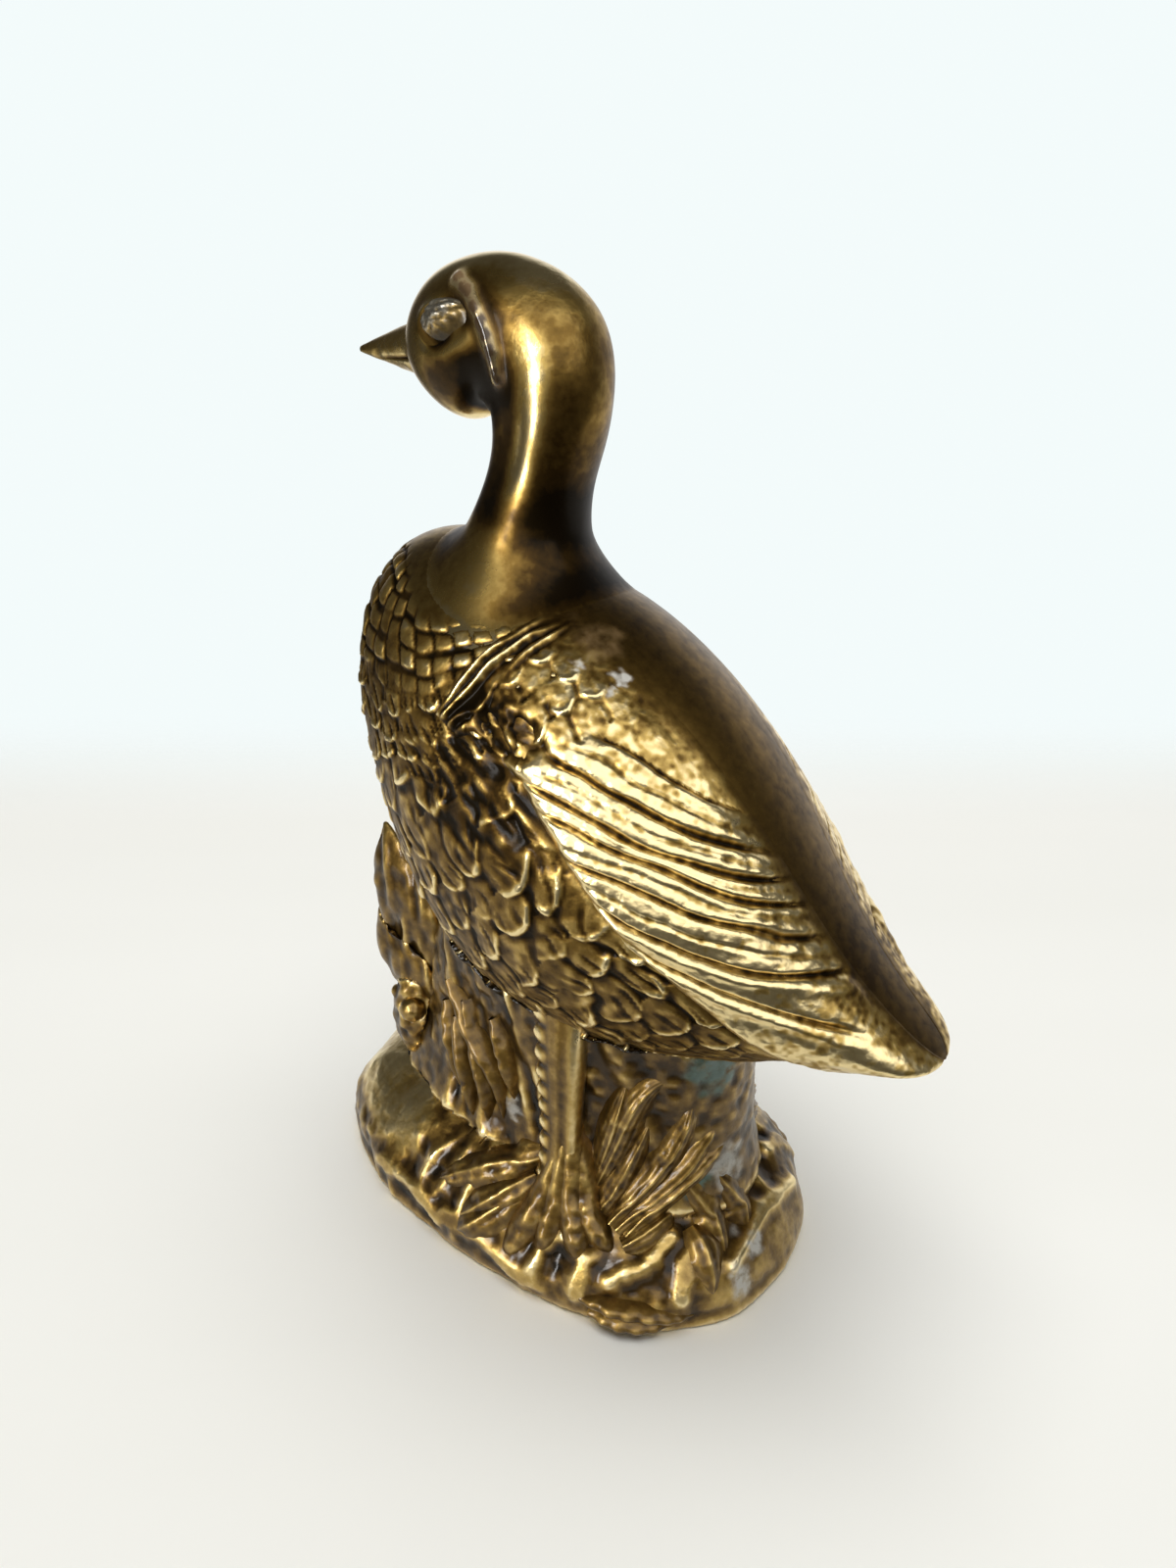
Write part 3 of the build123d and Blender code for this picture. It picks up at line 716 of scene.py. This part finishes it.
carved -= 0.25 * (1 - ease(oval, 0.75, 1.1))
carved = carved * flanks + 0.12 * lumps(points, 6)
carved *= 1 - ease(points[:, 2], 149, 150.2)
points = spread(head, points + outward * carved[:, None], 2)
chin = np.exp(-(((points[:, [0, 2]] - chin_spot) / chin_reach) ** 2).sum(axis=1))
points[:, 2] -= chin_drop * chin * ease(-outward[:, 2], 0, 0.6)


def body_faces(points, step=0.2):
    """The way the body faces below each place."""
    way = np.stack([above_body(points + off) - above_body(points - off)
                    for off in np.eye(3) * step], axis=1)
    return way / np.maximum(np.linalg.norm(way, axis=1, keepdims=True), 1e-6)


flare = 3.0 + 2.5 * ease(points[:, 0] + 2, -9, 0)
gap, facing = above_body(points), body_faces(points)
along = outward - (outward * facing).sum(axis=1, keepdims=True) * facing
along /= np.maximum(np.linalg.norm(along, axis=1, keepdims=True), 0.3)
spare = flare - np.clip(gap, 0, flare)
sunk = np.clip(-gap, 0, 1.5)
level = np.where(gap < 0, gap + 0.45 * sunk, gap)
points += along * (flare - np.sqrt(flare**2 - spare**2) + 2 * sunk)[:, None]
points += np.where(gap < flare, level - above_body(points), 0)[:, None] * body_faces(points)
place(head, points)
x, z = points[:, 0], points[:, 2]
# Painted shade: a darker patch over each cheek.
painted_cheek_shade = 1 - ease(np.hypot(*((spots - cheek_spot) / cheek_reach).T), 0.5, 1.2)
behind = (1 - ease(gap, 1, 6)) * ease(x, -6, 8)
# Patina and painted light: the head is darker away from the body and where the neck meets the body behind;
# the top of the crown is lighter as a painted highlight, and the back of the head below the crown is darker
# as painted shade.
patina_and_painted_light = 0.1 * ease(gap, 1, 9) * (1 - 1.3 * ease(z, 143, 149)) + 0.07 * behind
patina_and_painted_light += 0.09 * ease(x, -3, 2) * ease(gap, 3, 9) * ease(-z, -147, -139)
# Painted highlight: a lit strip down the neck where it faces the window, with painted shade on the lower
# neck (shaded) that fades the strip out below.
highlight_way = (0.25, -0.96, 0.09)
painted_highlight = ease(outward @ highlight_way, 0.9, 0.99)
painted_highlight *= ease(z, 116, 124) * ease(-z, -143, -138)
shaded = ease(-z, -125, -118) * ease(gap, 3, 9)
keep_relief(head, rounds=40, shift=0.16 * painted_highlight - 0.13 * shaded - patina_and_painted_light - 0.22 * painted_cheek_shade * flanks)
keep(head, "smooth", 1 - 0.7 * ease(z, 130, 140) * ease(x, -6, 0))
keep(head, "tan", 1.4 * np.exp(-((ridge / 0.8) ** 2)) * flanks)
set_in(head, "neck_and_head", chased)

# Bill: a short pointed casting in brass, pushed into the face by a peg.
# It is smooth, with a fine line along each side for the mouth.
bill_root, bill_tip, bill_level, bill_height, bill_width = -20.5, -38.0, 138.9, 4.9, 4.4
mouth_level, mouth_half, mouth_depth = 137.5, 0.22, 0.14
bill_rows, bill_columns = 100, 97


def gather(name, grids, side):
    """One piece out of several sheets, mirrored to the other side if side is -1."""
    made = [sheet(name, grid * (1, side, 1)) for grid in grids]
    bpy.ops.object.select_all(action="DESELECT")
    for part in made:
        part.select_set(True)
    bpy.context.view_layer.objects.active = made[0]
    bpy.ops.object.join()
    merge(made[0], within=0.002)
    if side < 0:
        flip(made[0])
    made[0].name = name
    return made[0]


along, round_it = np.meshgrid(np.linspace(0, 1, bill_rows), np.linspace(0, 2 * math.pi, bill_columns),
                              indexing="ij")
narrow = 0.07 + 0.93 * (1 - along) ** 0.95
narrow[0] = narrow[-1] = 0
grid = np.stack([bill_root + (bill_tip - bill_root) * along, -bill_width * narrow * np.cos(round_it),
                 bill_level - 0.2 * along + bill_height * narrow * np.sin(round_it)], axis=-1)
mouth = np.exp(-(((grid[..., 2] - mouth_level) / mouth_half) ** 2)) * ease(1 - along, 0.02, 0.1)
grid[..., 1] *= 1 - mouth_depth * mouth
grid[1:-1] += (0.07 * lumps(grid[1:-1].reshape(-1, 3), 1.5)).reshape(bill_rows - 2, bill_columns, 1)
bill = gather("bill_skin", [grid], 1)
keep_relief(bill, rounds=12, shift=0.05)
keep(bill, "smooth", np.full(len(bill.data.vertices), 0.7))
set_in(bill, "bill", chased)

# Eyes: oval studs of a soft grey metal, set in the sockets of the head.
# The punch left them crumpled, bright above and brown below.
stud_size, stud_back, stud_out = (4.9, 1.2, 2.8), 0.3, 8.0
greys = ((0.02, 0.013, 0.005), (0.1, 0.066, 0.022), (0.32, 0.22, 0.08), (0.6, 0.55, 0.44),
         (0.78, 0.76, 0.69))
eye_metal = aged_brass("crumpled eye metal", depth=0.3, tone=0.55, grain=0.2, polish=0.2)
for stop, grey in zip(eye_metal.node_tree.nodes["Color Ramp"].color_ramp.elements, greys):
    stop.color = (*grey, 1)
for side, node in ((1, "eye_left"), (-1, "eye_right")):
    bpy.ops.mesh.primitive_uv_sphere_add(segments=96, ring_count=64, radius=1)
    eye = bpy.context.object
    eye.name = node + "_skin"
    ball = places(eye) * mm + (base_x * mm, 0, 0)
    # Each stud is lighter and more crumpled towards its upper front.
    upper_front = ease(ball[:, 2] - 0.8 * ball[:, 0], -0.7, 0.7)
    crumple = (0.1 + 0.25 * upper_front) * lumps(ball * 4, 1.3) + 0.3 * upper_front * lumps(ball * 4 + 9, 0.6)
    stud = ball * stud_size * (1 + 0.03 * lumps(ball * 4, 2))[:, None]
    stud[:, 1] += crumple * ball[:, 1]
    place(eye, stud + (eye_spot[0] - stud_back, -stud_out * side, eye_spot[1]))
    bpy.ops.object.shade_smooth()
    keep_relief(eye, rounds=4, shift=0.38 * upper_front - 0.27)
    set_in(eye, node, eye_metal)

# Legs: each is one brass casting, a shank that grows out of the bank with scales down its front.
# Long wrinkled toes spread from it and melt into the mound.
leg_line = [(11.6, -14.6, 50), (12.2, -16.6, 38), (12.6, -17.3, 27), (13.4, -18.5, 17),
            (13.8, -18.6, 11.5)]
leg_radius = [4.5, 3.7, 3.2, 3.7, 5.2]
scale_rate, scale_depth, flat_depth = 44, 1.1, 0.9
toes = [((12.4, -17.6, 30.0), (12.3, -20.6, 18.0), (10.8, -24.4, 11.2), (8.4, -27.2, 5.8),
         (6.0, -28.6, 2.6)),
        ((13.4, -17.8, 29.0), (14.2, -20.6, 17.5), (14.2, -24.2, 11.0), (13.3, -26.8, 6.8)),
        ((14.2, -17.8, 28.0), (16.2, -20.4, 17.0), (18.9, -23.0, 11.8), (21.6, -25.2, 8.2)),
        ((14.6, -17.4, 26.5), (17.6, -19.0, 17.0), (21.6, -20.8, 12.8), (25.6, -21.3, 10.8))]
ground = [skin_of(node) for node in ("base_mound", "bank_column")]


def curve(line, along):
    """Places along a smooth curve through the given places."""
    knots = np.linspace(0, 1, len(line))
    return np.stack([curve_through(knots, column)(along) for column in np.array(line, float).T], axis=1)


def ground_way(spot):
    """The way the ground faces nearest to a place."""
    at = Vector((spot + (base_x, 0, 0)) * mm)
    found = min((skin.find_nearest(at) for skin in ground), key=lambda hit: hit[3])
    return np.array(found[1])


def blade(line, width, height, root=0.3, veins=0, wrinkle=0.0, rows=72, columns=29):
    """A leaf or toe lying on the ground: pointed at its end, with its edges melted into the ground."""
    along = np.linspace(0, 1, rows)
    middle = curve(line, along)
    ahead = np.gradient(middle, axis=0)
    ahead /= np.linalg.norm(ahead, axis=1, keepdims=True)
    up = np.stack([ground_way(spot) for spot in middle])
    for _ in range(12):
        up[1:-1] = (up[:-2] + up[1:-1] + up[2:]) / 3
    side = np.cross(ahead, up)
    side /= np.linalg.norm(side, axis=1, keepdims=True)
    up = np.cross(side, ahead)
    taper = (np.sin(np.pi * (root / 2 + (1 - root / 2) * along)) ** 0.7).clip(0.02)
    v = np.linspace(-1, 1, columns)
    arch = (1 - v**2) ** 1.25
    if veins:
        arch = 0.55 * arch + 0.5 * (1 - np.abs(v)) ** 1.4 + 0.03 * np.cos(v * (2 * veins + 1) * np.pi)
    grid = middle[:, None] + side[:, None] * (width * taper)[:, None, None] * v[None, :, None]
    edge_drop, sunk = 1.2, 0.6
    rise = height * taper[:, None] * arch[None, :] - edge_drop * np.abs(v)[None, :] ** 4 - sunk
    rise -= 0.8 * (1 - taper[:, None])
    rise += (wrinkle * np.cos(along * len(line) * 11))[:, None] * arch[None, :]
    grid += up[:, None] * rise[..., None]
    flat = grid.reshape(-1, 3)
    soft = 0.3 * lumps(flat, 2.6) + 0.12 * lumps(flat + 20, 1.1)
    flat += np.repeat(up, columns, axis=0) * soft[:, None]
    return flat.reshape(grid.shape)


def tube(line, radii, rows, columns, shape=None):
    """A closed round form along a curve, with its surface moved out by shape(along, turn)."""
    along = np.linspace(0, 1, rows)
    middle = curve(line, along)
    thick = curve([(radius, 0, 0) for radius in radii], along)[:, 0]
    ahead = np.gradient(middle, axis=0)
    ahead /= np.linalg.norm(ahead, axis=1, keepdims=True)
    side = np.cross(ahead, (0, 1, 0.001))
    side /= np.linalg.norm(side, axis=1, keepdims=True)
    up = np.cross(side, ahead)
    round_it = np.linspace(0, 2 * np.pi, columns)
    grown = thick[:, None] + (shape(along[:, None], round_it[None, :]) if shape else 0)
    ring = side[:, None] * np.cos(round_it)[None, :, None] - up[:, None] * np.sin(round_it)[None, :, None]
    grid = middle[:, None] + ring * grown[..., None]
    return np.concatenate([np.repeat(middle[:1, None], columns, axis=1), grid,
                           np.repeat(middle[-1:, None], columns, axis=1)])


def scutes(along, round_it):
    """Stacked scales down the front edge of the shank, and a flat, streaky outer face."""
    front = ease(-np.cos(round_it), 0.35, 0.9)
    outer = ease(np.sin(round_it), 0.4, 0.95)
    spots = np.stack(np.broadcast_arrays(np.cos(round_it) * 3, np.sin(round_it) * 3, along * 5), axis=-1)
    streaks = 0.22 * lumps(spots.reshape(-1, 3), 1.5).reshape(spots.shape[:-1])
    stacked = scale_depth * front * np.abs(np.cos(along * scale_rate))
    return stacked - flat_depth * outer * ease(-along, -0.8, -0.5) + streaks - 0.1


worn = aged_brass("worn brass", depth=0.3, tone=0.37, grain=0.24, polish=0.26)
for side, node in ((1, "leg_left"), (-1, "leg_right")):
    grids = [tube(leg_line, leg_radius, rows=120, columns=64, shape=scutes)]
    grids += [blade(toe, width=3.4, height=2.5, root=0.15, wrinkle=0.05) for toe in toes]
    leg = gather(node + "_skin", grids, side)
    keep_relief(leg, rounds=14, shift=0.08 * ease(places(leg)[:, 2], 15, 22) - 0.06)
    set_in(leg, node, worn)

# Grass fans: broad blades that spring from the mound behind each foot and lie against the bank.
# They are small brass castings with a fold along the middle and fine parallel veins.
grass = [((22.9, -19.0, 13.5), (26.9, -13.4, 20.8), (30.1, -10.4, 28.5), (31.6, -8.7, 37)),
         ((24.2, -19.1, 13.0), (28.8, -12.4, 19.1), (32.3, -8.7, 25.1), (34.6, -4.3, 32.3)),
         ((25.9, -18.9, 12.6), (29.7, -11.9, 18.5), (33.4, -7.5, 23.4), (35.1, -3.4, 26)),
         ((20.8, -18.9, 14.2), (23.0, -15.1, 21.3), (26.1, -12.7, 31.3)),
         ((18.8, -17.2, 16.9), (21.6, -15, 26.5), (24.6, -13.4, 35.6), (28.7, -11, 39)),
         ((18.9, -16.4, 20), (20.9, -15, 29), (22.3, -14.4, 37.6)),
         ((26.1, -20.1, 11.6), (28.8, -16, 13.4), (31.1, -10.8, 16.2))]


def plant(nodes, lines, width, height, **form):
    """Blades of one kind as one piece for each side, laid on the ground and set in the frame."""
    for side, node in zip((1, -1), nodes):
        piece = gather(node + "_skin", [blade(line, width, height, **form) for line in lines], side)
        keep_relief(piece, rounds=8)
        set_in(piece, node, worn)


plant(("grass_fan_left", "grass_fan_right"), grass, width=3.3, height=2.0, root=0.4, veins=3)

# Foot leaves: long pointed leaves that run forward from each foot and over the rim.
# They are brass castings fixed to the mound, folded along the middle and veined.
foot_leaves = [((9.2, -18.8, 19.0), (-0.2, -22.8, 14.4), (-9.7, -26.8, 9.0)),
               ((8.8, -20.0, 16.1), (2.5, -25.8, 10.7), (-6.8, -28.6, 2.2)),
               ((7.8, -23.0, 13.7), (1.8, -27.6, 7.8), (-3.4, -28.9, 3.2))]
plant(("foot_leaves_left", "foot_leaves_right"), foot_leaves, width=4.4, height=2.0, veins=2)

# Rim leaves: a rope-like folded leaf laid along the foot of the mound on each side.
# It is cast in brass in two wrinkled strands, with its edges melted into the mound.
rim_leaf = [((21.5, -26.6, 4.4), (28.1, -24.6, 4.0), (34.1, -21.5, 3.4), (38.5, -18.1, 2.6)),
            ((24, -26.4, 2.4), (30.5, -24.2, 2.0), (36.5, -20.4, 1.6))]
plant(("rim_leaf_left", "rim_leaf_right"), rim_leaf, width=2.0, height=2.2, wrinkle=0.12)

# Rear leaves: three short pointed leaves that hang over the back of the mound on the left.
# They are brass castings that start against the bank, made like the foot leaves.
rear_leaves = [((31.1, -10.5, 20.4), (34.6, -8.4, 14.0), (40.2, -11, 8.8)),
               ((33.4, -11.8, 13.4), (37.4, -13.5, 10.2), (40.2, -15.6, 5.0)),
               ((34.4, -6.0, 20.0), (37.0, -3.2, 13.2), (40.3, -4.4, 10.2))]
plant(("rear_leaves",), rear_leaves, width=4.0, height=2.1, veins=2)

# Reed stems: smooth round stalks that cross the flank of the bank below the breast.
# They are brass castings laid against the bank, pointed at the end and without veins.
reeds = [((-13.5, -15.0, 42), (-6.8, -16.6, 34.4), (-2.1, -17.4, 29), (0.1, -18.4, 20.5)),
         ((-11.4, -16.0, 36), (-8.3, -17.3, 26.8), (-5.7, -18.9, 17.0)),
         ((-2.4, -16.9, 40), (0.8, -17.1, 33.1), (1.9, -17.6, 25)),
         ((-9.4, -15.9, 40), (-5.4, -16.9, 31), (-3.4, -18.0, 24.5), (-2.6, -18.9, 17)),
         ((-15.0, -14.6, 37), (-12.0, -16.0, 29), (-9.6, -17.4, 20))]
plant(("reed_stems_left", "reed_stems_right"), reeds, width=2.1, height=2.3, root=0.3)

# Front leaves: two thick leaves curled one above the other under the breast.
# Each is a brass casting with long soft folds, fixed to the front of the bank.
leaf_growth = 0.22
for node in ("front_leaf_upper", "front_leaf_lower"):
    leaf = recast(node, voxel=0.28)
    points = spread(leaf, places(leaf), 3)
    points[:, 0] += leaf_growth * (points[:, 0] - points[:, 0].min())
    place(leaf, points)
    folds = np.stack([points[:, 0] + points[:, 1], points[:, 2] * 0.25, points[:, 0] * 0], axis=1)
    points += normals(leaf) * (0.5 * lumps(folds, 1.6) + 0.3 * lumps(points, 2.4) - 0.1)[:, None]
    place(leaf, points)
    keep_relief(leaf, rounds=10)
    set_in(leaf, node, worn)

# Seed pod and seed: a knobbly bud on the left of the bank, with one round seed beside it.
# Both are small brass castings, and the seed is the smoother one.
smooth_brass = aged_brass("smooth brass", depth=0.4, tone=0.5, grain=0.03, polish=0.16)
for node, step, knob_height, knob_size, swell, finish in (
        ("seed_pod", 0.28, 0.6, 1.7, 0.1, worn), ("seed_ball", 0.2, 0.1, 0.8, 0, smooth_brass)):
    seed = recast(node, voxel=step)
    points = places(seed)
    points += normals(seed) * (knob_height * lumps(points, knob_size) + swell)[:, None]
    place(seed, points)
    keep_relief(seed, rounds=10)
    set_in(seed, node, finish)

# Fasteners: the tie bolt with its washer and nut, and the dowel pins of the body seam.
# They are plain turned parts of dull steel and smooth brass, hidden inside the finished duck.
steel = aged_brass("dull steel", depth=0.5, tone=0.6, grain=0.04, polish=0.25)
stops = steel.node_tree.nodes["Color Ramp"].color_ramp.elements
for stop, level in zip(stops, (0.12, 0.2, 0.32, 0.45, 0.6)):
    stop.color = (level, level, level * 1.03, 1)
for node, finish in (("tie_bolt", steel), ("tie_washer", steel), ("tie_nut", steel),
                     ("dowel_pins", smooth_brass)):
    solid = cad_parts[node]
    solid.data.materials.clear()
    solid.data.materials.append(finish)

# Floor, light and camera: a plain pale table in a room that is bright behind the duck and dim
# on the near side, with a tall window to the left, seen from above the left flank.
eye_point = Vector(((85.1 + base_x) * mm, -110.5 * mm, 138.4 * mm))
level_way = Vector((-0.588, 0.809, 0))
near_edge, fade_edge, far_edge, broad = 0.06, 0.27, 0.38, 2.4
bpy.ops.mesh.primitive_plane_add(size=1)
floor = bpy.context.object
floor.name = "floor"
floor.scale = (broad, far_edge - near_edge, 1)
floor.rotation_euler.z = math.atan2(-level_way.x, level_way.y)
floor.location = eye_point + level_way * (near_edge + far_edge) / 2
floor.location.z = -0.0002
pale = bpy.data.materials.new("pale floor")
pale.use_nodes = True
cloth, tie = pale.node_tree.nodes, pale.node_tree.links
paper = cloth["Principled BSDF"]
paper.inputs["Roughness"].default_value = 0.8
spot = cloth.new("ShaderNodeTexCoord").outputs["Object"]
mottle = cloth.new("ShaderNodeTexNoise")
mottle.inputs["Scale"].default_value = 6
tie.new(spot, mottle.inputs["Vector"])
shade = cloth.new("ShaderNodeValToRGB")
shade.color_ramp.elements[0].color = (0.84, 0.84, 0.79, 1)
shade.color_ramp.elements[1].color = (0.89, 0.89, 0.85, 1)
tie.new(mottle.outputs["Fac"], shade.inputs["Fac"])
tie.new(shade.outputs["Color"], paper.inputs["Base Color"])
split = cloth.new("ShaderNodeSeparateXYZ")
tie.new(spot, split.inputs["Vector"])
fade_start = (fade_edge - near_edge) / (far_edge - near_edge) - 0.5
fade = ranged(pale.node_tree, split.outputs["Y"], start=(fade_start, 0.5), end=(1, 0))
tie.new(fade, paper.inputs["Alpha"])
floor.data.materials.append(pale)

bright_way, bright_edge, above_edge = (-0.26, 0.966, 0), (0.5, 0.82), (-0.75, -0.3)
world = bpy.data.worlds.new("bright room")
bpy.context.scene.world = world
world.use_nodes = True
sky, join = world.node_tree.nodes, world.node_tree.links
direction = sky.new("ShaderNodeTexCoord").outputs["Generated"]


def share(way, edge):
    """1 where the room lies that way, falling to 0 where it doesn't."""
    along = sky.new("ShaderNodeVectorMath")
    along.operation = "DOT_PRODUCT"
    along.inputs[1].default_value = way
    join.new(direction, along.inputs[0])
    return ranged(world.node_tree, along.outputs["Value"], start=edge)


both = sky.new("ShaderNodeMath")
both.operation = "MULTIPLY"
join.new(share(bright_way, bright_edge), both.inputs[0])
join.new(share((0, 0, -1), above_edge), both.inputs[1])
room = sky.new("ShaderNodeMix")
room.data_type = "RGBA"
join.new(both.outputs[0], room.inputs["Factor"])
room.inputs["A"].default_value = (0.06, 0.057, 0.05, 1)
room.inputs["B"].default_value = (1.0, 1.0, 1.0, 1)
join.new(room.outputs["Result"], sky["Background"].inputs["Color"])
seen = sky.new("ShaderNodeBackground")
seen.inputs["Color"].default_value = (0.9, 0.965, 0.965, 1)
path = sky.new("ShaderNodeLightPath")
choice = sky.new("ShaderNodeMixShader")
join.new(path.outputs["Is Camera Ray"], choice.inputs["Fac"])
join.new(sky["Background"].outputs["Background"], choice.inputs[1])
join.new(seen.outputs["Background"], choice.inputs[2])
join.new(choice.outputs["Shader"], sky["World Output"].inputs["Surface"])

light_aim = Vector((0, 0, 0.09))
for name, spot, power, wide, tall, mirrored in (
        ("window", (-0.06, -0.36, 0.18), 1.2, 0.06, 0.3, True),
        ("soft lamp", (0.46, -0.36, 0.55), 5.0, 1.2, 0.8, True),
        ("ceiling", (0, 0, 1.6), 31, 1.6, 1.6, False)):
    lamp = bpy.data.lights.new(name, "AREA")
    lamp.shape, lamp.energy, lamp.size, lamp.size_y = "RECTANGLE", power, wide, tall
    holder = bpy.data.objects.new(name, lamp)
    bpy.context.collection.objects.link(holder)
    holder.location = spot
    holder.rotation_euler = (light_aim - Vector(spot)).to_track_quat("-Z", "Y").to_euler()
    holder.visible_glossy, holder.visible_diffuse = mirrored, not mirrored

pitch = math.radians(24.08)
camera_data = bpy.data.cameras.new("camera")
camera = bpy.data.objects.new("camera", camera_data)
bpy.context.collection.objects.link(camera)
camera.location = eye_point
aim = level_way * math.cos(pitch) - Vector((0, 0, math.sin(pitch)))
camera.rotation_euler = aim.to_track_quat("-Z", "Y").to_euler()
camera_data.lens, camera_data.sensor_width, camera_data.sensor_fit = 22.25, 36, "AUTO"
camera_data.clip_start = 0.005
bpy.context.scene.camera = camera
bpy.context.scene.view_settings.view_transform = "Standard"
